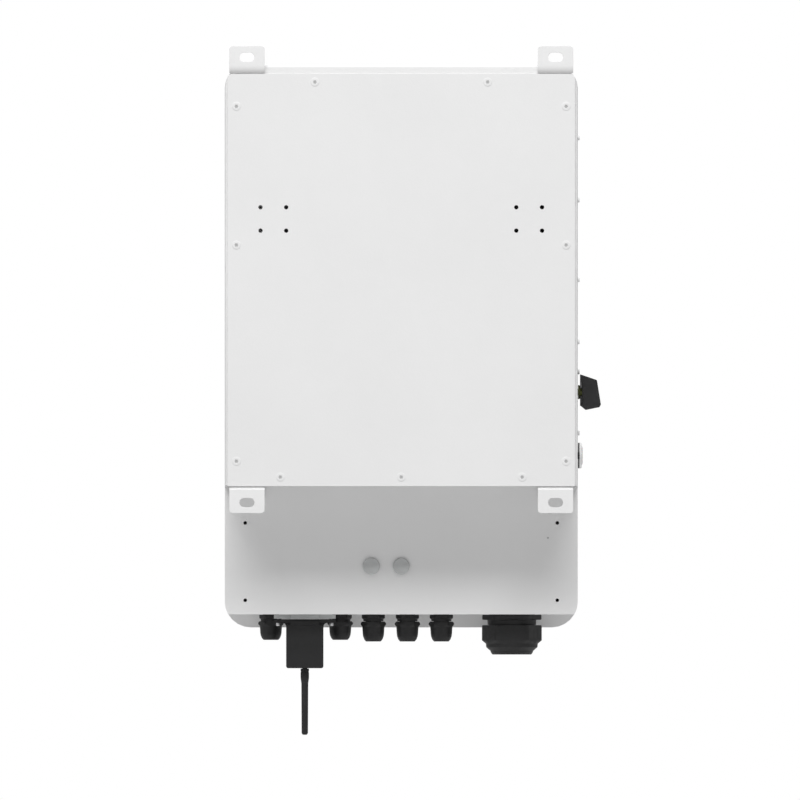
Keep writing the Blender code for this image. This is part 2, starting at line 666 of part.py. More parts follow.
def make_gland(name, centre, size, nut_reach=1.0):
    """Cable gland: threaded body with a hexagonal flange, and a dome nut with six flats.

    Depths are measured down from the case's underside; shapes are (radius, depth) pairs. The
    reach scales the depths of the nut.
    """
    at = (*centre, FLOOR - GAP)
    bore = size["bore"]
    thread = size["thread"]
    core_low = -size["core_depth"]
    flange, neck = size["flange_shape"]
    body_profile = [
        (bore, size["inside"]), (thread, size["inside"]), (thread, 0.0), (flange[0], 0.0),
        (flange[0], -flange[1]), (neck[0], -flange[1]), (neck[0], -neck[1]), (thread, -neck[1]),
        (thread, core_low), (bore, core_low),
    ]
    body = turned(f"{name}_body", body_profile, "Z", BLACK_PLASTIC, at, size["body_steps"], True)
    cut(body, hexagon_sleeve(f"{name}_flange_hex", size["flange_flat"], at, -neck[1] - 0.001, 0.0001))
    nut_top = -neck[1] - GAP
    nut_low = -size["nut_shape"][-1][1] * nut_reach
    well_low = core_low - 0.0005
    nut_profile = [(thread + GAP, nut_top), (size["nut_shape"][0][0] - 0.001, nut_top)]
    nut_profile += [(radius, -depth * nut_reach) for radius, depth in size["nut_shape"]]
    nut_profile += [(bore, nut_low), (bore, well_low), (thread + GAP, well_low)]
    nut = turned(f"{name}_nut", nut_profile, "Z", BLACK_PLASTIC, at, size["nut_steps"], True)
    cut(nut, hexagon_sleeve(f"{name}_nut_hex", size["nut_flat"], at, nut_low - 0.001, nut_top + 0.0001))


def hexagon_sleeve(name, flat, at, low, high):
    """A cutter that leaves only what lies within a hexagon of the given half width."""
    corners = circle(0, 0, flat / math.cos(math.pi / 6), 6)
    wide = circle(0, 0, 2 * flat, 16)
    return prism(name, [wide, corners], "Z", low, high, at=at)


SMALL_SIZE = {
    "body_steps": 12, "nut_steps": 16, "bore": 0.0065, "thread": 0.0098, "inside": 0.010,
    "flange_shape": ((0.01385, 0.0044), (0.0120, 0.0080)), "flange_flat": 0.0125,
    "core_depth": 0.022, "nut_flat": 0.0131,
    "nut_shape": (
        (0.0152, 0.0100), (0.0152, 0.0122), (0.0131, 0.0146), (0.0128, 0.0246), (0.0115, 0.0290),
        (0.0086, 0.0320),
    ),
}
BATTERY_SIZE = {
    "body_steps": 20, "nut_steps": 24, "bore": 0.0205, "thread": 0.0275, "inside": 0.010,
    "flange_shape": ((0.0352, 0.0061), (0.0288, 0.0121)), "flange_flat": 0.0322,
    "core_depth": 0.036, "nut_flat": 0.0318,
    "nut_shape": (
        (0.0356, 0.0133), (0.0356, 0.0308), (0.0309, 0.0347), (0.0304, 0.0390), (0.0256, 0.0430),
        (0.0247, 0.0452), (0.0230, 0.0475),
    ),
}


def make_breathers():
    for name, x in BREATHER_XS.items():
        rear = CASE_REAR + GAP
        profile = [
            (0.0, rear + 0.0035), (BREATHER_RADIUS - 0.001, rear + 0.0035),
            (BREATHER_RADIUS, rear + 0.0025), (BREATHER_RADIUS, rear), (0.0055, rear),
            (0.0055, rear - 0.010), (0.0, rear - 0.010),
        ]
        turned(name, profile, "Y", WHITE_PAINT, (x, 0, BREATHER_Z), 24)


def make_logger():
    """Plug-in data logger: socket on the case, plug box with two ears, and a stick antenna."""
    at = (LOGGER_X, LOGGER_Y, 0)
    half_depth = 0.010
    top = FLOOR - GAP
    ear_top = top - 0.0042
    flange = rectangle(-LOGGER_EAR, LOGGER_EAR, -half_depth, half_depth, 0.003)
    pin_cut = rectangle(-0.0105, 0.0105, -0.0045, 0.0045)
    screw_cuts = [circle(sign * LOGGER_SCREW, 0, 0.0017, 12) for sign in (-1, 1)]
    prism("logger_socket", [flange, pin_cut] + screw_cuts, "Z", ear_top + GAP, top, GREY_PLASTIC, at)
    box_bottom = -0.4622
    ear_low = ear_top - 0.0055
    block = rectangle(-0.022, 0.022, -0.0135, 0.0135, 0.004)
    body = prism("logger_body", [block], "Z", box_bottom, ear_top, BLACK_PLASTIC, at)
    ears = prism("logger_ears", [flange], "Z", ear_low, ear_top, at=at)
    nose = box("logger_nose", (-0.010, -0.004, ear_top - 0.001), (0.010, 0.004, top + 0.004), at=at)
    unite(body, ears, nose)
    for index, hole in enumerate(screw_cuts):
        cut(body, prism(f"ear_hole_{index}", [hole], "Z", ear_low - 0.001, ear_top + 0.001, at=at))
    socket = prism("antenna_socket", [circle(0, 0, 0.0033)], "Z", box_bottom - 0.001, box_bottom + 0.006, at=at)
    cut(body, socket)
    for side, sign in {"right": 1, "left": -1}.items():
        head = ear_low - GAP
        profile = [
            (0.0, top - 0.0008), (0.0014, top - 0.0008), (0.0014, head), (0.0027, head),
            (0.0027, head - 0.0025), (0.0020, head - 0.0035), (0.0, head - 0.0035),
        ]
        centre = (LOGGER_X + sign * LOGGER_SCREW, LOGGER_Y, 0)
        turned(f"logger_screw_{side}", profile, "Z", STEEL, centre, 12)
    low = box_bottom - GAP
    rod = [
        (0.0, low + 0.0055), (0.003, low + 0.0055), (0.003, low), (0.00515, low), (0.00515, -0.4735),
        (0.0041, -0.4790), (0.0038, -0.5395), (0.0024, -0.5413), (0.0, -0.5413),
    ]
    turned("antenna", rod, "Z", BLACK_PLASTIC, at, 16)


# ---------------------------------------------------------------- the whole inverter

make_case_body()
make_covers()
make_duct_housing()
make_back_plate()
make_lugs()
make_heat_sink()
for fan_place, fan_z in FAN_ZS.items():
    make_fan(fan_place, fan_z)
make_dc_switch()
make_power_button()
make_display()
make_electronics()
terminal_strip("ac_terminals", -0.055, 0.065, -0.330, 6, GREY_PLASTIC)
terminal_strip("pv_terminals", 0.090, 0.170, -0.330, 4, BLACK_PLASTIC)
terminal_strip("battery_terminals", -0.170, -0.090, -0.330, 2, BLACK_PLASTIC)
for gland_name, gland_centre in SMALL_GLANDS.items():
    make_gland(gland_name, gland_centre, SMALL_SIZE, SHORT_NUTS.get(gland_name, 1.0))
make_gland("battery_gland", BATTERY_GLAND, BATTERY_SIZE)
make_breathers()
make_logger()
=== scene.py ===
"""Finishes and fine detail for a wall-hung string inverter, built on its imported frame.

The camera faces the wall side of the inverter. Positions come from the frame's own nodes.
"""

import json
import math

import bmesh
import bpy
from mathutils import Matrix, Vector

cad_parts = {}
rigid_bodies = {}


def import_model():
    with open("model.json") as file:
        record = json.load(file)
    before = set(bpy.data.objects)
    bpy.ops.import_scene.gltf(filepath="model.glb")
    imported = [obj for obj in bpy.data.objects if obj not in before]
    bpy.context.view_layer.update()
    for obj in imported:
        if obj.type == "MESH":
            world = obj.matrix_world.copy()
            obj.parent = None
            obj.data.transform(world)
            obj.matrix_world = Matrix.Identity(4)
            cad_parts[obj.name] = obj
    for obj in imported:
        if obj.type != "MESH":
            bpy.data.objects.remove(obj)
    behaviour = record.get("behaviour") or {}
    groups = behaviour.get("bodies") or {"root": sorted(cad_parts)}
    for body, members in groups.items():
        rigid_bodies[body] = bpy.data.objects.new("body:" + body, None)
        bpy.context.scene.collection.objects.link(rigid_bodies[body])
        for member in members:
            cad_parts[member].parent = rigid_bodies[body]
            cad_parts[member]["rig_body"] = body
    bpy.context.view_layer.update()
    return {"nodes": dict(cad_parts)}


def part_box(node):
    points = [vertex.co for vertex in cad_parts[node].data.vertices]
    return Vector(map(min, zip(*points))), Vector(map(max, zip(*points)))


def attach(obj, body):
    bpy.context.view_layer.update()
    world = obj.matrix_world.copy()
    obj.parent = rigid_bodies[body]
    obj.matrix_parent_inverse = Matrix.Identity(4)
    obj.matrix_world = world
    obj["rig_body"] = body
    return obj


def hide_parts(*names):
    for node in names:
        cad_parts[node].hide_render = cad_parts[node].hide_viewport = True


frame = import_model()
NODES = frame["nodes"]


# ---------------------------------------------------------------- camera, light and floor

PICTURE_WIDTH = 0.952
PICTURE_CENTRE = (0.0015, -0.1429)
CAMERA_DISTANCE = 3.0
LIT_POINT = Vector((0, -0.1, -0.08))
SURROUND = 0.33
FLOOR_Z = -0.80
FLOOR_RADIUS = 9.0


def make_light(name, at, width, height, power):
    """A soft oval lamp turned to the middle of the inverter."""
    lamp = bpy.data.lights.new(name, "AREA")
    lamp.shape = "ELLIPSE"
    lamp.size = width
    lamp.size_y = height
    lamp.energy = power
    light = bpy.data.objects.new(name, lamp)
    bpy.context.scene.collection.objects.link(light)
    light.location = at
    light.rotation_euler = (LIT_POINT - Vector(at)).to_track_quat("-Z", "Y").to_euler()


def make_world(brightness):
    """An even studio surround, plain white behind the object."""
    world = bpy.data.worlds.new("studio")
    bpy.context.scene.world = world
    world.use_nodes = True
    tree = world.node_tree
    around = tree.nodes["Background"]
    around.inputs["Color"].default_value = (1.0, 1.0, 1.0, 1.0)
    around.inputs["Strength"].default_value = brightness
    behind = tree.nodes.new("ShaderNodeBackground")
    behind.inputs["Strength"].default_value = 1.0
    behind.inputs["Color"].default_value = (1.0, 1.0, 1.0, 1.0)
    seen = tree.nodes.new("ShaderNodeLightPath")
    choice = tree.nodes.new("ShaderNodeMixShader")
    tree.links.new(seen.outputs["Is Camera Ray"], choice.inputs["Fac"])
    tree.links.new(around.outputs["Background"], choice.inputs[1])
    tree.links.new(behind.outputs["Background"], choice.inputs[2])
    tree.links.new(choice.outputs["Shader"], tree.nodes["World Output"].inputs["Surface"])


def make_camera():
    """Looks level and square at the wall side, from far enough to have no perspective."""
    lens = bpy.data.cameras.new("camera")
    lens.type = "ORTHO"
    lens.ortho_scale = PICTURE_WIDTH
    lens.clip_end = 50
    camera = bpy.data.objects.new("camera", lens)
    bpy.context.scene.collection.objects.link(camera)
    x, z = PICTURE_CENTRE
    camera.location = (x, CAMERA_DISTANCE, z)
    camera.rotation_euler = (math.pi / 2, 0, math.pi)
    bpy.context.scene.camera = camera


make_camera()
make_world(SURROUND)
make_light("overhead", (0.6, 4.2, 6.9), width=9.0, height=3.2, power=760)
make_light("left_of_picture", (3.4, 1.2, 0.2), width=1.6, height=1.6, power=4)
make_light("front_key", (-1.4, -3.2, 2.2), width=2.0, height=2.0, power=60)
bpy.context.scene.view_settings.view_transform = "Standard"


# ---------------------------------------------------------------- finishes

class Finish:
    """A node material whose patterns, in metres, feed one Principled shader."""

    def __init__(self, name, **sockets):
        self.material = bpy.data.materials.new(name)
        self.material.use_nodes = True
        self.tree = self.material.node_tree
        self.shader = self.tree.nodes["Principled BSDF"]
        for socket, value in sockets.items():
            self.shader.inputs[socket.replace("_", " ")].default_value = value
        self.place = self.tree.nodes.new("ShaderNodeTexCoord").outputs["Object"]
        self.bump = None

    def add(self, kind, inputs, **settings):
        node = self.tree.nodes.new("ShaderNode" + kind)
        for key, value in settings.items():
            setattr(node, key, value)
        for key, value in inputs.items():
            if isinstance(value, bpy.types.NodeSocket):
                self.tree.links.new(value, node.inputs[key])
            else:
                node.inputs[key].default_value = value
        return node

    def stretched(self, stretch):
        return self.add("Mapping", {"Vector": self.place, "Scale": stretch}).outputs["Vector"]

    def noise(self, scale, detail=2.0, stretch=(1, 1, 1)):
        inputs = {"Vector": self.stretched(stretch), "Scale": scale, "Detail": detail}
        return self.add("TexNoise", inputs).outputs["Fac"]

    def cells(self, scale, stretch=(1, 1, 1)):
        inputs = {"Vector": self.stretched(stretch), "Scale": scale}
        return self.add("TexVoronoi", inputs).outputs["Distance"]

    def waves(self, scale, direction, distortion=0.0):
        inputs = {"Vector": self.place, "Scale": scale, "Distortion": distortion}
        return self.add("TexWave", inputs, bands_direction=direction).outputs["Fac"]

    def spread(self, pattern, low, high, start=0.3, end=0.7):
        """The pattern stretched to run between two values."""
        inputs = {"Value": pattern, "From Min": start, "From Max": end, "To Min": low, "To Max": high}
        return self.add("MapRange", inputs).outputs["Result"]

    def between(self, factor, first, second):
        """A colour between two, which are colours or sockets."""
        inputs = {0: factor}
        for slot, value in ((6, first), (7, second)):
            inputs[slot] = value if isinstance(value, bpy.types.NodeSocket) else (*value, 1.0)
        return self.add("Mix", inputs, data_type="RGBA").outputs[2]

    def color(self, value):
        self.tree.links.new(value, self.shader.inputs["Base Color"])
        return self

    def rough(self, pattern, low, high):
        self.tree.links.new(self.spread(pattern, low, high), self.shader.inputs["Roughness"])
        return self

    def raised(self, pattern, height, strength=1.0):
        """Adds a bump of the given height, in metres, on top of those before it."""
        inputs = {"Height": pattern, "Distance": height, "Strength": strength}
        if self.bump:
            inputs["Normal"] = self.bump
        self.bump = self.add("Bump", inputs).outputs["Normal"]
        self.tree.links.new(self.bump, self.shader.inputs["Normal"])
        return self


def shade(color, factor):
    """The colour made darker or lighter."""
    return tuple(channel * factor for channel in color)


def powder_coat(name, color):
    """Baked powder coat: faint orange peel, fine speckle and slow changes of tone."""
    coat = Finish(name, IOR=1.5)
    broad = coat.spread(coat.noise(7, 3.0), 0.0, 1.0)
    tone = coat.between(broad, shade(color, 0.985), shade(color, 1.012))
    speckle = coat.spread(coat.noise(1500, 1.0), 0.0, 0.035, 0.45, 0.75)
    coat.color(coat.between(speckle, tone, shade(color, 0.6)))
    coat.rough(coat.noise(60, 4.0), 0.40, 0.52)
    coat.raised(coat.noise(380, 1.0), 0.00005)
    return coat.raised(coat.noise(1600, 2.0), 0.000015)


def moulded(name, color, roughness=0.5, grain=0.00003):
    """Moulded plastic with a spark-eroded grain and faint flow marks."""
    plastic = Finish(name, IOR=1.46)
    flow = plastic.spread(plastic.noise(35, 3.0, (1, 1, 2.5)), 0.0, 1.0)
    tone = plastic.between(flow, shade(color, 0.88), shade(color, 1.15))
    scuffs = plastic.spread(plastic.noise(420, 4.0), 0.0, 0.25, 0.62, 0.85)
    pale = tuple(min(1.0, channel * 1.6 + 0.01) for channel in color)
    plastic.color(plastic.between(scuffs, tone, pale))
    plastic.rough(plastic.noise(160, 3.0), roughness - 0.08, roughness + 0.08)
    return plastic.raised(plastic.cells(1400), grain)


def rubbery(name, color, roughness=0.75):
    """Soft rubber: matt, slightly uneven, with fine dust in its grain."""
    rubber = Finish(name, IOR=1.43)
    dust = rubber.spread(rubber.noise(700, 5.0), 0.0, 0.3, 0.55, 0.85)
    dusty = tuple(min(1.0, channel * 1.3 + 0.02) for channel in color)
    rubber.color(rubber.between(dust, color, dusty))
    rubber.rough(rubber.noise(90, 3.0), roughness - 0.1, roughness + 0.1)
    return rubber.raised(rubber.noise(900, 3.0), 0.00003)


def drawn_metal(name, color, roughness, stretch):
    """Extruded or rolled metal, streaked along its long direction."""
    metal = Finish(name, Metallic=1.0)
    streaks = metal.noise(900, 3.0, stretch)
    metal.color(metal.between(metal.spread(streaks, 0.0, 1.0), shade(color, 0.86), shade(color, 1.06)))
    metal.rough(metal.noise(300, 3.0, stretch), roughness - 0.08, roughness + 0.1)
    return metal.raised(streaks, 0.00001)


def zinc_plate(name, color):
    """Zinc-plated steel: cloudy, with a fine satin scatter."""
    metal = Finish(name, Metallic=0.9)
    cloud = metal.spread(metal.noise(500, 4.0), 0.0, 1.0)
    metal.color(metal.between(cloud, shade(color, 0.8), shade(color, 1.08)))
    metal.rough(metal.noise(1300, 2.0), 0.32, 0.5)
    return metal.raised(metal.noise(2500, 2.0), 0.000008)


def circuit_board():
    """Green solder mask over copper tracks, with rows of bright pads."""
    board = Finish("circuit_board", IOR=1.5)
    place = board.add(
        "Mapping", {"Vector": board.place, "Rotation": (math.pi / 2, 0, 0)}
    ).outputs["Vector"]
    tracks = board.add("TexBrick", {
        "Vector": place, "Scale": 1.0, "Mortar Size": 0.0006, "Brick Width": 0.013,
        "Row Height": 0.0042,
    }).outputs["Fac"]
    mask = board.between(tracks, (0.012, 0.10, 0.045), (0.03, 0.20, 0.08))
    pads = board.spread(board.cells(160), 1.0, 0.0, 0.10, 0.14)
    board.color(board.between(pads, mask, (0.62, 0.60, 0.52)))
    board.rough(board.noise(400), 0.25, 0.4)
    return board.raised(tracks, 0.00004)


def winding():
    """Enamelled copper turns laid side by side."""
    copper = Finish("copper_winding", Metallic=0.85)
    turns = copper.waves(330, "X", 0.6)
    shine = copper.spread(copper.noise(220, 3.0), 0.0, 1.0)
    copper.color(copper.between(shine, (0.36, 0.13, 0.04), (0.62, 0.27, 0.10)))
    copper.rough(copper.noise(500), 0.22, 0.4)
    return copper.raised(turns, 0.0004)


def display_glass():
    """A liquid crystal panel at rest: grey-green with its fine grid of dots."""
    glass = Finish("display_panel", IOR=1.5)
    place = glass.add(
        "Mapping", {"Vector": glass.place, "Rotation": (math.pi / 2, 0, 0)}
    ).outputs["Vector"]
    dots = glass.add("TexBrick", {
        "Vector": place, "Scale": 1.0, "Mortar Size": 0.00008, "Brick Width": 0.0005,
        "Row Height": 0.0005,
    }, offset=0.0).outputs["Fac"]
    glow = glass.spread(glass.noise(14, 2.0), 0.0, 1.0)
    cell = glass.between(glow, (0.20, 0.25, 0.18), (0.27, 0.33, 0.24))
    glass.color(glass.between(dots, cell, (0.15, 0.19, 0.14)))
    return glass.rough(glass.noise(120), 0.12, 0.22)


def clear_plastic():
    """Clear polycarbonate with hairline scratches."""
    clear = Finish("clear_plastic", IOR=1.5, Transmission_Weight=1.0)
    haze = clear.spread(clear.noise(40, 3.0), 0.0, 1.0)
    clear.color(clear.between(haze, (0.90, 0.93, 0.93), (0.96, 0.98, 0.98)))
    clear.rough(clear.noise(600, 4.0, (1, 1, 6)), 0.02, 0.10)
    return clear.raised(clear.noise(500, 4.0, (1, 1, 8)), 0.000004)


def frosted_silicone(name, color):
    """Pale translucent silicone: satin, with a soft mottling under the skin."""
    silicone = Finish(name, IOR=1.41, Subsurface_Weight=0.25, Subsurface_Scale=0.003)
    milk = silicone.spread(silicone.noise(240, 3.0), 0.0, 1.0)
    silicone.color(silicone.between(milk, shade(color, 0.94), shade(color, 1.04)))
    silicone.rough(silicone.noise(500, 2.0), 0.42, 0.56)
    return silicone.raised(silicone.noise(1100, 2.0), 0.00002)


WHITE = powder_coat("white_powder_coat", (0.80, 0.80, 0.80))
PLATE = powder_coat("plate_powder_coat", (0.79, 0.79, 0.79))
BREATHER = moulded("breather_plastic", (0.50, 0.51, 0.51), 0.6)
BLACK = moulded("black_nylon", (0.0105, 0.0105, 0.011), 0.5)
FAN_BLACK = moulded("fan_plastic", (0.02, 0.02, 0.021), 0.42)
CHARCOAL = moulded("switch_plastic", (0.021, 0.021, 0.022), 0.42)
TERMINAL = moulded("terminal_plastic", (0.16, 0.17, 0.17), 0.5)
GREY = moulded("grey_plastic", (0.42, 0.43, 0.43), 0.5)
PALE = moulded("white_plastic", (0.78, 0.78, 0.78), 0.45)
BEZEL = moulded("bezel_plastic", (0.90, 0.90, 0.90), 0.5)
OLIVE = moulded("olive_plastic", (0.080, 0.090, 0.018), 0.5)
SLEEVE = moulded("capacitor_sleeve", (0.02, 0.02, 0.03), 0.35)
FERRITE = moulded("ferrite", (0.05, 0.05, 0.055), 0.65, 0.00006)
SILICONE = frosted_silicone("silicone", (0.86, 0.86, 0.86))
RUBBER = rubbery("black_rubber", (0.018, 0.018, 0.018))
ALUMINIUM = drawn_metal("extruded_aluminium", (0.62, 0.63, 0.64), 0.38, (0.02, 1, 1))
STEEL = zinc_plate("zinc_plated_steel", (0.50, 0.50, 0.51))
BRIGHT_STEEL = zinc_plate("bright_steel", (0.78, 0.78, 0.79))
# Dark finishes for screw drive recesses: painted shade, standing for the shadow inside each recess.
RECESS_SHADE_STEEL = zinc_plate("steel_painted_recess_shade", (0.10, 0.10, 0.10))
RECESS_SHADE_COAT = powder_coat("coat_painted_recess_shade", (0.44, 0.44, 0.44))
BOARD = circuit_board()
COPPER = winding()
SCREEN = display_glass()
CLEAR = clear_plastic()


# ---------------------------------------------------------------- shapes

def softened(points, steps=4):
    """A closed outline through (x, y, corner radius) points."""
    outline = []
    for index, (x, y, radius) in enumerate(points):
        if radius <= 0:
            outline.append((x, y))
            continue
        corner = Vector((x, y))
        back = (Vector(points[index - 1][:2]) - corner).normalized()
        ahead = (Vector(points[(index + 1) % len(points)][:2]) - corner).normalized()
        half = back.angle(ahead) / 2
        centre = corner + (back + ahead).normalized() * radius / math.sin(half)
        first = corner + back * radius / math.tan(half) - centre
        last = corner + ahead * radius / math.tan(half) - centre
        for step in range(steps + 1):
            ray = first.lerp(last, step / steps).normalized() * radius
            outline.append(tuple(centre + ray))
    return outline


def disc(radius, steps=32, x=0.0, y=0.0):
    angles = [math.tau * step / steps for step in range(steps)]
    return [(x + radius * math.cos(angle), y + radius * math.sin(angle)) for angle in angles]


def rectangle(x0, x1, y0, y1, radius=0.0, steps=4):
    corners = [(x0, y0, radius), (x1, y0, radius), (x1, y1, radius), (x0, y1, radius)]
    return softened(corners, steps)


def lathe(profile, steps=48, flat=None, flat_span=(0.0, 0.0)):
    """A profile of (radius, height) turned about Z, as a ring if it stays off the axis.

    Between the two heights of flat_span it is also held within a hexagon of half width flat.
    """
    body = bmesh.new()
    rings = []
    for radius, height in profile:
        if radius < 0.000001:
            rings.append([body.verts.new((0, 0, height))] * steps)
            continue
        ring = []
        for step in range(steps):
            angle = math.tau * step / steps
            reach = radius
            if flat and flat_span[0] <= height <= flat_span[1]:
                reach = min(radius, flat / math.cos(angle % (math.pi / 3) - math.pi / 6))
            ring.append(body.verts.new((reach * math.cos(angle), reach * math.sin(angle), height)))
        rings.append(ring)
    joins = list(zip(rings, rings[1:]))
    if rings[0][0] is not rings[0][1]:
        joins.append((rings[-1], rings[0]))
    for upper, lower in joins:
        for step in range(steps):
            after = (step + 1) % steps
            corners = [upper[step], upper[after], lower[after], lower[step]]
            corners = [c for i, c in enumerate(corners) if c is not corners[i - 1]]
            if len(corners) > 2:
                body.faces.new(corners)
    bmesh.ops.recalc_face_normals(body, faces=body.faces)
    return body


# Each turns a shape's own Z onto an axis of the inverter, its X and Y onto the other two in order.
FACING = {
    "X": Matrix(((0, 0, 1, 0), (1, 0, 0, 0), (0, 1, 0, 0), (0, 0, 0, 1))),
    "Y": Matrix(((1, 0, 0, 0), (0, 0, 1, 0), (0, 1, 0, 0), (0, 0, 0, 1))),
    "-Y": Matrix(((1, 0, 0, 0), (0, 0, -1, 0), (0, 1, 0, 0), (0, 0, 0, 1))),
    "-X": Matrix(((0, 0, -1, 0), (-1, 0, 0, 0), (0, 1, 0, 0), (0, 0, 0, 1))),
}


def turn(body, axis):
    """Swings a shape so that its height runs along an axis of the inverter."""
    bmesh.ops.transform(body, matrix=FACING[axis], verts=body.verts)
    bmesh.ops.recalc_face_normals(body, faces=body.faces)
    return body


def tidied(body, angle):
    """Merges coplanar faces, and keeps every face convex."""
    bmesh.ops.dissolve_limit(body, angle_limit=angle, verts=body.verts, edges=body.edges)
    bmesh.ops.connect_verts_concave(body, faces=body.faces)


def prism(outlines, low, high):
    """Flat outlines, the later ones holes in the first, between two heights."""
    curve = bpy.data.curves.new("outline", "CURVE")
    curve.dimensions = "2D"
    curve.fill_mode = "BOTH"
    curve.extrude = (high - low) / 2
    for outline in outlines:
        spline = curve.splines.new("POLY")
        spline.points.add(len(outline) - 1)
        spline.use_cyclic_u = True
        for point, (x, y) in zip(spline.points, outline):
            point.co = (x, y, 0, 1)
    guide = bpy.data.objects.new("outline", curve)
    bpy.context.scene.collection.objects.link(guide)
    bpy.context.view_layer.update()
    mesh = bpy.data.meshes.new_from_object(guide.evaluated_get(bpy.context.evaluated_depsgraph_get()))
    bpy.data.objects.remove(guide, do_unlink=True)
    body = bmesh.new()
    body.from_mesh(mesh)
    bpy.data.meshes.remove(mesh)
    bmesh.ops.translate(body, vec=(0, 0, (low + high) / 2), verts=body.verts)
    bmesh.ops.remove_doubles(body, verts=body.verts, dist=0.000001)
    tidied(body, 0.01)
    bmesh.ops.recalc_face_normals(body, faces=body.faces)
    return body


def combined(body, operation, *tools):
    """The body after Boolean steps with tools, which are used up."""
    for tool in tools:
        pair = []
        for part in (body, tool):
            mesh = bpy.data.meshes.new("boolean")
            part.to_mesh(mesh)
            part.free()
            pair.append(bpy.data.objects.new("boolean", mesh))
            bpy.context.scene.collection.objects.link(pair[-1])
        step = pair[0].modifiers.new("step", "BOOLEAN")
        step.operation = operation
        step.solver = "EXACT"
        step.object = pair[1]
        bpy.context.view_layer.update()
        graph = bpy.context.evaluated_depsgraph_get()
        result = bpy.data.meshes.new_from_object(pair[0].evaluated_get(graph))
        body = bmesh.new()
        body.from_mesh(result)
        bpy.data.meshes.remove(result)
        for thing in pair:
            bpy.data.objects.remove(thing, do_unlink=True)
    tidied(body, 0.005)
    return body


def cut(body, *tools):
    return combined(body, "DIFFERENCE", *tools)


def joined(body, *others):
    return combined(body, "UNION", *others)


def as_mesh(name, body, finish, sharp=32):
    """The body as a smooth-shaded mesh, creased where faces meet at more than an angle."""
    mesh = bpy.data.meshes.new(name)
    body.to_mesh(mesh)
    body.free()
    mesh.materials.append(finish.material)
    mesh.shade_smooth()
    if sharp:
        mesh.set_sharp_from_angle(angle=math.radians(sharp))
    return mesh


def put(name, mesh, rides, at=(0, 0, 0), stands_for=(), bevel=0.0):
    """Places a mesh, which its copies may share, on a body of the frame."""
    piece = bpy.data.objects.new(name, mesh)
    bpy.context.scene.collection.objects.link(piece)
    piece.location = at
    if bevel:
        edge = piece.modifiers.new("rounded_edges", "BEVEL")
        edge.width = bevel
        edge.segments = 2
        edge.limit_method = "ANGLE"
        edge.angle_limit = math.radians(36)
        edge.miter_outer = "MITER_ARC"
        normals = piece.modifiers.new("even_faces", "WEIGHTED_NORMAL")
        normals.keep_sharp = True
    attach(piece, rides)
    if stands_for:
        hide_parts(*stands_for)
    return piece


def make(name, body, finish, rides, at=(0, 0, 0), stands_for=(), bevel=0.0, sharp=32):
    """One piece of its own; a bevel finds the corners itself, so it takes no creases."""
    mesh = as_mesh(name, body, finish, None if bevel else sharp)
    return put(name, mesh, rides, at, stands_for, bevel)


def body_of(node):
    return NODES[node]["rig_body"]


def refine(node, finish, bevel=0.0004):
    """A frame shape shown with clean faces and softly rounded edges."""
    body = bmesh.new()
    body.from_mesh(NODES[node].data)
    bmesh.ops.remove_doubles(body, verts=body.verts, dist=0.00001)
    tidied(body, math.radians(0.6))
    return make(node + "_fine", body, finish, body_of(node), stands_for=[node], bevel=bevel)


def paint(finish, *nodes):
    """Frame nodes that keep their shape and take a finish."""
    for node in nodes:
        mesh = NODES[node].data
        for index in range(len(mesh.materials)):
            mesh.materials[index] = finish.material


def centre(node):
    low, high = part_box(node)
    return (low + high) / 2


def screw_head(name, radius, height, finish, flange=0.0, axis="Y", drive=0.0, recess_shade=None):
    """A pan head with a star recess coloured darker as painted shade, its seat at the origin, facing
    along an axis.
    """
    profile = [(0.0, height), (0.80 * radius, height), (0.94 * radius, 0.84 * height)]
    profile += [(radius, 0.5 * height)]
    if flange:
        seat = 0.28 * height
        profile += [(radius, seat), (flange - 0.0001, seat), (flange, seat - 0.0001), (flange, 0.0)]
    else:
        profile += [(radius, 0.0)]
    profile.append((0.0, 0.0))
    head = lathe(profile, 36)
    reach = drive or 0.5 * radius
    star = []
    for step in range(48):
        angle = math.tau * step / 48
        ripple = reach * (0.84 + 0.16 * math.cos(6 * angle))
        star.append((ripple * math.cos(angle), ripple * math.sin(angle)))
    head = cut(head, prism([star], 0.22 * height, height + 0.001))
    # Faces inside the recess take the second finish, a darker colour painted in as the recess's shade.
    for face in head.faces:
        middle = face.calc_center_median()
        if math.hypot(middle.x, middle.y) < 1.02 * reach and 0.1 * height < middle.z < 0.97 * height:
            face.material_index = 1
    mesh = as_mesh(name, turn(head, axis), finish, 28)
    mesh.materials.append((recess_shade or RECESS_SHADE_STEEL).material)
    return mesh


# ---------------------------------------------------------------- sheet metal

def make_case():
    """Painted sheet metal, with its gaskets and the heat sink in the duct."""
    refine("case_body", WHITE, 0.0005)
    refine("duct_housing", WHITE)
    refine("back_plate", PLATE, 0.0003)
    lugs = ["lug_upper_right", "lug_upper_left", "lug_lower_right", "lug_lower_left"]
    for node in [*lugs, "front_cover", "wiring_cover"]:
        refine(node, WHITE)
    paint(RUBBER, "front_cover_gasket", "wiring_cover_gasket")
    paint(ALUMINIUM, "heat_sink")


PLATE_SCREW_TOP = 0.2355
PLATE_SCREW_BOTTOM = -0.2346
PLATE_SCREW_SIDE = 0.1962
PLATE_SCREW_SIDE_HEIGHTS = (0.2066, 0.0415, -0.2157)
FAN_SCREW_OFFSETS = (0.0358, 0.0370)
CONTROL_SCREW_HEIGHTS = (-0.1094, -0.1822)
PANEL_PIN = (-0.1746, -0.307)


def plate_screw_places():
    """Pairs along the top, down the sides and along the bottom, then one in the bottom's middle."""
    pairs = [(0.1028, PLATE_SCREW_TOP)]
    pairs += [(PLATE_SCREW_SIDE, z) for z in PLATE_SCREW_SIDE_HEIGHTS]
    pairs.append((0.1439, PLATE_SCREW_BOTTOM))
    places = [(side * x, z) for x, z in pairs for side in (1, -1)]
    places.insert(-1, (0.0, PLATE_SCREW_BOTTOM))
    return places


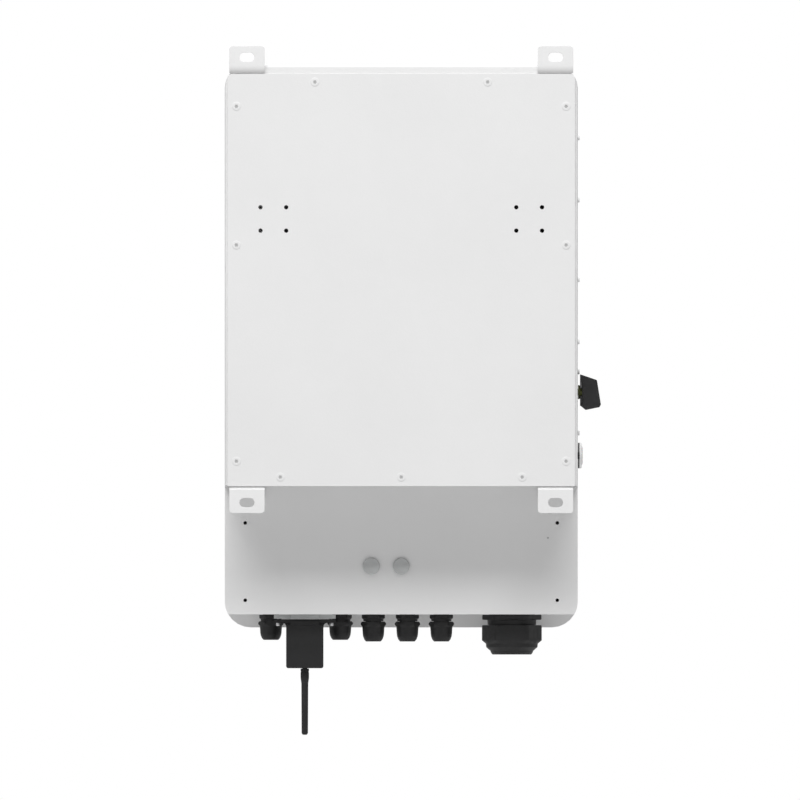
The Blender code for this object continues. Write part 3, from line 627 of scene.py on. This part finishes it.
def make_case_screws():
    """Screws of the back plate, of the fans and beside the side controls, and the panel's pin."""
    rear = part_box("back_plate")[1].y
    # Heads in the plate's paint and pale plastic; their recesses are a grey finish, painted shade.
    head = screw_head("plate_screw", 0.0052, 0.0004, PLATE, drive=0.0023, recess_shade=RECESS_SHADE_COAT)
    for index, (x, z) in enumerate(plate_screw_places()):
        put(f"plate_screw_{index + 1}", head, "enclosure", (x, rear, z))

    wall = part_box("duct_housing")[0].x
    side_head = screw_head("fan_screw", 0.0030, 0.0022, PALE, axis="-X", recess_shade=RECESS_SHADE_COAT)
    across, up = FAN_SCREW_OFFSETS
    for place in ("upper", "lower"):
        middle = centre("fan_frame_" + place)
        for index, (dy, dz) in enumerate(((1, 1), (-1, 1), (1, -1), (-1, -1))):
            at = (wall, middle.y + dy * across, middle.z + dz * up)
            put(f"fan_screw_{place}_{index + 1}", side_head, "enclosure", at)
    switch = centre("dc_switch_body")
    for index, z in enumerate(CONTROL_SCREW_HEIGHTS):
        put(f"side_screw_{index + 1}", side_head, "enclosure", (wall, switch.y, z))

    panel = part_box("case_body")[1].y
    dot = lathe([(0.0, 0.0007), (0.0007, 0.0006), (0.0011, 0.0003), (0.0011, 0.0), (0.0, 0.0)], 20)
    x, z = PANEL_PIN
    make("panel_pin", turn(dot, "Y"), GREY, "enclosure", (x, panel, z))


# ---------------------------------------------------------------- cable entries

GLAND_SEAT = -0.3983
LOCK_NUT_SEAT = -0.3958
SMALL_GLANDS = [f"gland_{number}" for number in range(1, 6)]
NUT_DEPTH = 0.0320


def make_glands():
    """Nylon glands: flanged thread, six-sided dome nut and a rubber seal in its mouth.

    The nut and seal are drawn for a full-depth nut and scaled to the depth of each gland's own.
    """
    thread = []
    for step in range(9):
        height = 0.0098 - step * 0.0012
        thread += [(0.0092, height), (0.0098, height - 0.0006)]
    flange = softened([
        (0.0092, 0.0, 0), (0.0136, 0.0, 0.0005), (0.01385, -0.0010, 0.0004),
        (0.01385, -0.0040, 0.0008), (0.0121, -0.0058, 0.0010), (0.0120, -0.0079, 0),
        (0.0094, -0.0079, 0),
    ], 3)
    body = lathe(thread + flange + [(0.0094, -0.0218), (0.0068, -0.0218), (0.0065, 0.0098)], 72,
                 0.0126, (-0.0042, 0.0001))
    nut = lathe(softened([
        (0.0101, -0.0083, 0), (0.0136, -0.0083, 0.0006), (0.0150, -0.0100, 0.0010),
        (0.0152, -0.0118, 0.0008), (0.0142, -0.0132, 0.0008), (0.0132, -0.0145, 0.0010),
        (0.0127, -0.0225, 0.004), (0.0122, -0.0260, 0.003), (0.0108, -0.0296, 0.003),
        (0.0088, -NUT_DEPTH, 0.0012), (0.0070, -NUT_DEPTH, 0.0004), (0.0070, -0.0225, 0),
        (0.0101, -0.0225, 0),
    ], 5), 72, 0.0131, (-0.0145, -0.0083))
    seal = lathe(softened([
        (0.0096, -0.0226, 0), (0.0069, -0.0226, 0), (0.0069, -0.0298, 0.0002),
        (0.0065, -0.0298, 0.0002), (0.0065, -0.0222, 0), (0.0066, -0.0221, 0), (0.0096, -0.0222, 0),
    ], 2), 48)
    meshes = [
        ("body", as_mesh("gland_body", body, BLACK, 30), "black_plastic"),
        ("nut", as_mesh("gland_nut", nut, BLACK, 30), "black_plastic"),
        ("seal", as_mesh("gland_seal", seal, RUBBER), "rubber"),
    ]
    for name in SMALL_GLANDS:
        middle = centre(name + "_body")
        at = (middle.x, middle.y, GLAND_SEAT)
        reach = (GLAND_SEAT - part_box(name + "_nut")[0].z) / NUT_DEPTH
        for kind, mesh, slot in meshes:
            node = f"{name}_{kind}"
            piece = put(node + "_fine", mesh, "enclosure", at, [node] if node in NODES else [])
            if kind != "body":
                piece.scale.z = reach


def make_battery_gland():
    """The large gland for the battery pair, with a waist between its flange and nut."""
    thread = []
    for step in range(6):
        height = 0.0098 - step * 0.0018
        thread += [(0.0264, height), (0.0275, height - 0.0009)]
    flange = softened([
        (0.0264, 0.0, 0), (0.0348, 0.0, 0.0006), (0.0353, -0.0010, 0.0006),
        (0.0353, -0.0056, 0.0008), (0.0343, -0.0062, 0.0004), (0.0290, -0.0063, 0.0008),
        (0.0288, -0.0122, 0), (0.0270, -0.0122, 0),
    ], 3)
    body = lathe(thread + flange + [(0.0270, -0.0355), (0.0208, -0.0355), (0.0205, 0.0098)], 96,
                 0.0322, (-0.0062, 0.0001))
    nut = lathe(softened([
        (0.0279, -0.0125, 0), (0.0349, -0.0125, 0.0006), (0.0356, -0.0136, 0.0006),
        (0.0356, -0.0306, 0.0008), (0.0309, -0.0346, 0.0010), (0.0305, -0.0388, 0.0012),
        (0.0256, -0.0430, 0.0012), (0.0248, -0.0452, 0.0010), (0.0231, -0.0475, 0.0014),
        (0.0214, -0.0475, 0.0006), (0.0212, -0.0366, 0), (0.0279, -0.0366, 0),
    ], 5), 96, 0.0318, (-0.0475, -0.0125))
    seal = lathe(softened([
        (0.0272, -0.0367, 0), (0.0210, -0.0367, 0), (0.0210, -0.0462, 0.0006),
        (0.0205, -0.0462, 0.0002), (0.0205, -0.0362, 0), (0.0272, -0.0362, 0),
    ], 2), 64)
    middle = centre("battery_gland_body")
    at = (middle.x, middle.y, GLAND_SEAT)
    for node, shape in (("battery_gland_body", body), ("battery_gland_nut", nut)):
        make(node + "_fine", shape, BLACK, "enclosure", at, [node])
    make("battery_gland_seal", seal, RUBBER, "enclosure", at)


def make_lock_nuts():
    """Hexagonal lock nuts that hold the glands, inside on the case floor."""
    small = lathe([(0.0100, 0.0045), (0.0130, 0.0045), (0.0137, 0.0038), (0.0137, 0.0), (0.0100, 0.0)],
                  72, 0.0122, (0.0, 0.0046))
    small = as_mesh("lock_nut", small, BLACK, 30)
    for name in SMALL_GLANDS:
        middle = centre(name + "_body")
        at = (middle.x, middle.y, LOCK_NUT_SEAT)
        put(name + "_lock_nut", small, "enclosure", at)
    large = lathe([(0.0278, 0.0065), (0.0330, 0.0065), (0.0340, 0.0055), (0.0340, 0.0), (0.0278, 0.0)],
                  96, 0.0320, (0.0, 0.0066))
    middle = centre("battery_gland_body")
    at = (middle.x, middle.y, LOCK_NUT_SEAT)
    make("battery_gland_lock_nut", large, BLACK, "enclosure", at)


def make_breathers():
    """Round pressure vents: a flat cap with a rounded rim, on a plug through the panel."""
    for node in ("breather_right", "breather_left"):
        low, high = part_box(node)
        radius = (high.x - low.x) / 2
        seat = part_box("case_body")[1].y + 0.0003
        proud = high.y - seat
        profile = softened([
            (0.0, proud, 0), (radius - 0.0012, proud, 0.0012), (radius, proud - 0.0012, 0.0008),
            (radius, 0.0, 0), (0.0055, 0.0, 0), (0.0055, -0.009, 0), (0.0, -0.009, 0),
        ], 4)
        middle = (low + high) / 2
        make(node + "_fine", turn(lathe(profile, 64), "Y"), BREATHER, "enclosure",
             (middle.x, seat, middle.z), [node])


# ---------------------------------------------------------------- data logger and antenna

def make_logger():
    """Plug box hung by two screwed ears from a pale socket, with three lamps on its front.

    Heights count from the CAD plug's upper face. Below the socket a dark seam runs round, and a lip
    closes the plug's wall side up to it.
    """
    low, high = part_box("logger_body")
    x, y, _ = (low + high) / 2
    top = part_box("logger_socket")[0].z - 0.0003
    bottom = low.z - top
    ear = (high.x - low.x) / 2
    ear_low = -0.0056
    seam = -0.0013
    half = 0.0222
    depth = 0.0134
    lip_half = 0.0172
    lamp_height = -0.038
    screws = [centre("logger_screw_" + side).x - x for side in ("left", "right")]
    front = softened([
        (-ear, seam, 0.0006), (-ear, ear_low, 0.0012), (-half, ear_low, 0.0045),
        (-half, bottom, 0.0028), (half, bottom, 0.0028), (half, ear_low, 0.0045),
        (ear, ear_low, 0.0012), (ear, seam, 0.0006),
    ], 6)
    slab = turn(prism([front], -depth - 0.0001, depth + 0.0001), "Y")
    sides = softened([
        (-0.0100, 0.001, 0), (-0.0100, ear_low, 0.0006), (-depth, ear_low - 0.003, 0.002),
        (-depth, bottom + 0.0001, 0.0016), (depth, bottom + 0.0001, 0.0016),
        (depth, ear_low - 0.003, 0.002), (0.0100, ear_low, 0.0006), (0.0100, 0.001, 0),
    ], 6)
    block = combined(slab, "INTERSECT", turn(prism([sides], -0.05, 0.05), "X"))
    holes = [prism([disc(0.0018, 20, offset)], -0.02, 0.01) for offset in screws]
    groove = [rectangle(-0.0105, 0.0105, -0.0140, -0.0128, 0.0005)]
    groove = prism(groove, lamp_height - 0.002, lamp_height + 0.002)
    socket = prism([disc(0.0034, 24)], bottom - 0.001, bottom + 0.006)
    lip = [rectangle(-lip_half, lip_half, -0.0120, seam - 0.0019, 0.0006)]
    block = joined(block, turn(prism(lip, 0.0080, 0.0132), "Y"))
    make("logger_body_fine", cut(block, *holes, groove, socket), BLACK, "enclosure",
         (x, y, top), ["logger_body"], 0.0003)

    lamp = lathe(softened([
        (0.0, 0.0006, 0), (0.0016, 0.0006, 0.0004), (0.0016, -0.0004, 0), (0.0, -0.0004, 0),
    ], 3), 24)
    lamp = as_mesh("logger_lamp", turn(lamp, "-Y"), CLEAR)
    for index, offset in enumerate((-0.0065, 0.0, 0.0065)):
        at = (x + offset, y - 0.01285, top + lamp_height)
        put(f"logger_lamp_{index + 1}", lamp, "enclosure", at)

    low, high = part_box("logger_socket")
    under = low.z - high.z + seam
    flange = prism([rectangle(-ear, ear, -0.0098, 0.0098, 0.003)], under + 0.0003, 0.0)
    brow = prism([rectangle(-lip_half, lip_half, 0.0080, 0.0128, 0.0008)], under + 0.0005, -0.0002)
    flange = joined(flange, brow)
    pins = prism([rectangle(-0.0106, 0.0106, -0.0046, 0.0046, 0.0008)], -0.01, 0.01)
    bores = [prism([disc(0.0018, 20, offset)], -0.01, 0.01) for offset in screws]
    make("logger_socket_fine", cut(flange, pins, *bores), GREY, "enclosure",
         (x, y, high.z), ["logger_socket"], 0.0003)

    for side in ("right", "left"):
        node = "logger_screw_" + side
        low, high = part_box(node)
        length = high.z - low.z
        profile = softened([
            (0.0, length, 0), (0.0014, length, 0.0003), (0.0014, 0.0041, 0), (0.0027, 0.0041, 0.0003),
            (0.0027, 0.0010, 0.0007), (0.0018, 0.0, 0.0004), (0.0, 0.0, 0),
        ], 3)
        shank = lathe(profile, 32)
        arms = [prism([rectangle(-0.0016, 0.0016, -0.0004, 0.0004)], -0.001, 0.0014),
                prism([rectangle(-0.0004, 0.0004, -0.0016, 0.0016)], -0.001, 0.0014)]
        middle = (low + high) / 2
        make(node + "_fine", cut(shank, *arms), BRIGHT_STEEL, "enclosure",
             (middle.x, middle.y, low.z), [node])


def make_antenna():
    """Stick antenna: a knurled collar with a groove, tapering to a thin rod."""
    low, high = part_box("antenna")
    middle = (low + high) / 2
    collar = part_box("logger_body")[0].z - 0.0003 - low.z
    profile = softened([
        (0.0, high.z - low.z, 0), (0.0030, high.z - low.z, 0.0003), (0.0030, collar, 0),
        (0.00505, collar, 0.0004), (0.00505, collar - 0.0032, 0.0003),
        (0.0046, collar - 0.0035, 0.0002), (0.0046, collar - 0.0042, 0.0002),
        (0.00505, collar - 0.0045, 0.0003),
        (0.00500, collar - 0.0115, 0.002), (0.0041, collar - 0.0175, 0.003), (0.0038, 0.0022, 0.002),
        (0.0026, 0.0, 0.0016), (0.0, 0.0, 0),
    ], 5)
    rod = lathe(profile, 40)
    knurls = []
    for step in range(12):
        angle = math.tau * step / 12
        x, y = 0.0054 * math.cos(angle), 0.0054 * math.sin(angle)
        knurls.append(prism([disc(0.0007, 10, x, y)], collar - 0.0030, collar - 0.0004))
    make("antenna_fine", cut(rod, *knurls), BLACK, body_of("antenna"),
         (middle.x, middle.y, low.z), ["antenna"], sharp=30)


# ---------------------------------------------------------------- side controls

def make_switch():
    """Isolator knob: a tapering grip across a round skirt, over an olive collar.

    The collar's hub stands in the knob's well, and a notch on the wall side shows it.
    """
    low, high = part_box("dc_switch_knob")
    axis = centre("dc_switch_shaft")
    foot = high.x
    reach = foot - low.x
    skirt = lathe(softened([
        (0.0, 0.0, 0), (0.0165, 0.0, 0.0003), (0.0165, 0.0026, 0.0008), (0.0, 0.0026, 0),
    ], 4), 72)
    skirt = turn(skirt, "-X")
    outline = softened([
        (0.0, 0.0213, 0.0006), (-0.0202, 0.0144, 0.0018), (-reach, -0.0148, 0.0020),
        (-0.0232, -0.0180, 0.0016), (-0.0066, -0.0213, 0.0018), (0.0, -0.0158, 0.0010),
    ], 5)
    grip = turn(prism([outline], -0.0085, 0.0085), "Y")
    knob = joined(skirt, grip)
    bore = turn(prism([disc(0.0043, 32)], -0.0005, 0.0140), "-X")
    well = turn(prism([disc(0.0081, 48)], -0.0005, 0.0027), "-X")
    notch = turn(prism([rectangle(-0.0027, 0.0005, -0.0045, 0.0045)], 0.0062, 0.0200), "Y")
    make("dc_switch_knob_fine", cut(knob, bore, well, notch), CHARCOAL, body_of("dc_switch_knob"),
         (foot, axis.y, axis.z), ["dc_switch_knob"], 0.0012)

    low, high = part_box("dc_switch_collar")
    radius = (high.z - low.z) / 2
    depth = high.x - low.x
    hub = high.x - foot + 0.0024
    collar = lathe(softened([
        (0.0046, 0.0, 0), (radius, 0.0, 0.0002), (radius, depth, 0.0003), (0.0078, depth, 0),
        (0.0078, hub, 0.0003), (0.0046, hub, 0),
    ], 3), 56)
    make("dc_switch_collar_fine", turn(collar, "-X"), OLIVE, "enclosure",
         (high.x, axis.y, axis.z), ["dc_switch_collar"])
    paint(BRIGHT_STEEL, "dc_switch_shaft")
    paint(FAN_BLACK, "dc_switch_body", "power_button_switch")


def make_power_button():
    """Pale bezel on a dark gasket, around a soft cap that is pressed in."""
    low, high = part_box("power_button_ring")
    middle = (low + high) / 2
    outer = (high.z - low.z) / 2
    depth = high.x - low.x
    cap_low, cap_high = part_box("power_button_cap")
    cap = (cap_high.z - cap_low.z) / 2
    inner = cap + 0.0003
    gasket_depth = 0.0018
    foot = gasket_depth + 0.0001
    ring = lathe(softened([
        (inner, foot, 0), (outer, foot, 0.0003), (outer, depth, 0.0022), (inner, depth, 0.0004),
    ], 5), 72)
    make("power_button_ring_fine", turn(ring, "-X"), BEZEL, "enclosure",
         (high.x, middle.y, middle.z), ["power_button_ring"])
    gasket = lathe(softened([
        (inner, 0.0, 0), (outer - 0.0002, 0.0, 0.0002), (outer - 0.0002, gasket_depth, 0.0003),
        (inner, gasket_depth, 0),
    ], 3), 72)
    make("power_button_gasket", turn(gasket, "-X"), RUBBER, "enclosure",
         (high.x, middle.y, middle.z))
    crown = cap_high.x - cap_low.x
    base = crown - 0.0034
    button = lathe(softened([
        (0.0, 0.0, 0), (0.0040, 0.0, 0), (0.0040, base, 0), (cap, base, 0.0002),
        (cap, crown - 0.0010, 0.0012), (cap - 0.0030, crown, 0.0020), (0.0, crown - 0.0006, 0),
    ], 5), 72)
    make("power_button_cap_fine", turn(button, "-X"), SILICONE, body_of("power_button_cap"),
         (cap_high.x, middle.y, middle.z), ["power_button_cap"])


# ---------------------------------------------------------------- front

def make_front():
    """Display pane, status light and four keys, each key flanged behind the cover."""
    refine("display_window", CLEAR, 0.0003)
    refine("indicator_lens", CLEAR, 0.0004)
    paint(SCREEN, "display_module")
    for node in ("key_escape", "key_up", "key_down", "key_enter"):
        low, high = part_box(node)
        middle = (low + high) / 2
        total = high.y - low.y
        flange = total - 0.0070
        rear = total - 0.0055
        profile = softened([
            (0.0, 0.0003, 0), (0.0030, 0.0001, 0), (0.0055, 0.0, 0.0008),
            (0.0055, flange, 0), (0.0070, flange, 0.0002), (0.0070, rear, 0.0002),
            (0.0030, rear, 0), (0.0030, total, 0.0003), (0.0, total, 0),
        ], 4)
        key = turn(lathe(profile, 48), "Y")
        make(node + "_fine", cut(key, *key_marks(node)), GREY, body_of(node),
             (middle.x, low.y, middle.z), [node], sharp=30)


def key_marks(node):
    """Cutters for the plain sign in a key's face: a cross, an arrowhead up or down, or a dot."""
    size = 0.0024
    line = 0.00035
    if node == "key_escape":
        signs = [rectangle(-size, size, -line, line), rectangle(-line, line, -size, size)]
        tilt = math.radians(45)
    elif node == "key_enter":
        signs = [disc(size * 0.62, 20)]
        tilt = 0.0
    else:
        way = 1 if node == "key_up" else -1
        signs = [[(-size, -way * size * 0.6), (size, -way * size * 0.6), (0.0, way * size)]]
        tilt = 0.0
    tools = []
    for sign in signs:
        tool = prism([sign], -0.001, 0.0007)
        bmesh.ops.rotate(tool, matrix=Matrix.Rotation(tilt, 3, "Z"), verts=tool.verts)
        tools.append(turn(tool, "Y"))
    return tools


def make_cover_screws():
    """Low screws that hold each cover to the case's front flange."""
    head = screw_head("cover_screw", 0.0040, 0.0011, STEEL, 0.0052, "-Y")
    for node, rows in (("front_cover", 3), ("wiring_cover", 2)):
        low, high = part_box(node)
        inset = 0.016
        for row in range(rows):
            z = low.z + inset + (high.z - low.z - 2 * inset) * row / (rows - 1)
            for side in (-1, 1):
                x = side * (high.x - inset)
                put(f"{node}_screw_{row + 1}{'a' if side < 0 else 'b'}", head, body_of(node),
                    (x, low.y, z))


# ---------------------------------------------------------------- inside

def make_inside():
    """Boards, wound parts and fans in their own finishes, and terminal blocks with their screws."""
    paint(BOARD, "power_board", "control_board")
    paint(SLEEVE, "bus_capacitor_1", "bus_capacitor_2", "bus_capacitor_3")
    paint(COPPER, "inductor_1", "inductor_2")
    paint(FERRITE, "transformer")
    paint(FAN_BLACK, "fan_frame_upper", "fan_frame_lower", "fan_rotor_upper", "fan_rotor_lower")
    head = screw_head("terminal_screw", 0.0032, 0.0012, BRIGHT_STEEL, axis="-Y")
    for node, ways, finish in (
        ("ac_terminals", 6, GREY), ("pv_terminals", 4, TERMINAL), ("battery_terminals", 2, TERMINAL),
    ):
        refine(node, finish, 0.0006)
        low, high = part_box(node)
        pitch = (high.x - low.x) / ways
        for way in range(ways):
            at = (low.x + pitch * (way + 0.5), low.y, low.z + 0.022)
            put(f"{node}_screw_{way + 1}", head, "enclosure", at)


def make_floor():
    """A pale studio floor, far below the antenna."""
    body = lathe([(0.0, 0.0), (FLOOR_RADIUS, 0.0), (FLOOR_RADIUS, -0.01), (0.0, -0.01)], 96)
    finish = Finish("studio_floor")
    tone = finish.spread(finish.noise(2.5, 3.0), 0.0, 1.0)
    finish.color(finish.between(tone, (0.54, 0.54, 0.54), (0.57, 0.57, 0.57)))
    finish.rough(finish.noise(20, 2.0), 0.75, 0.85)
    floor = bpy.data.objects.new("floor", as_mesh("floor", body, finish))
    bpy.context.scene.collection.objects.link(floor)
    floor.location = (0, 0, FLOOR_Z)


make_case()
make_case_screws()
make_glands()
make_battery_gland()
make_lock_nuts()
make_breathers()
make_logger()
make_antenna()
make_switch()
make_power_button()
make_front()
make_cover_screws()
make_inside()
make_floor()
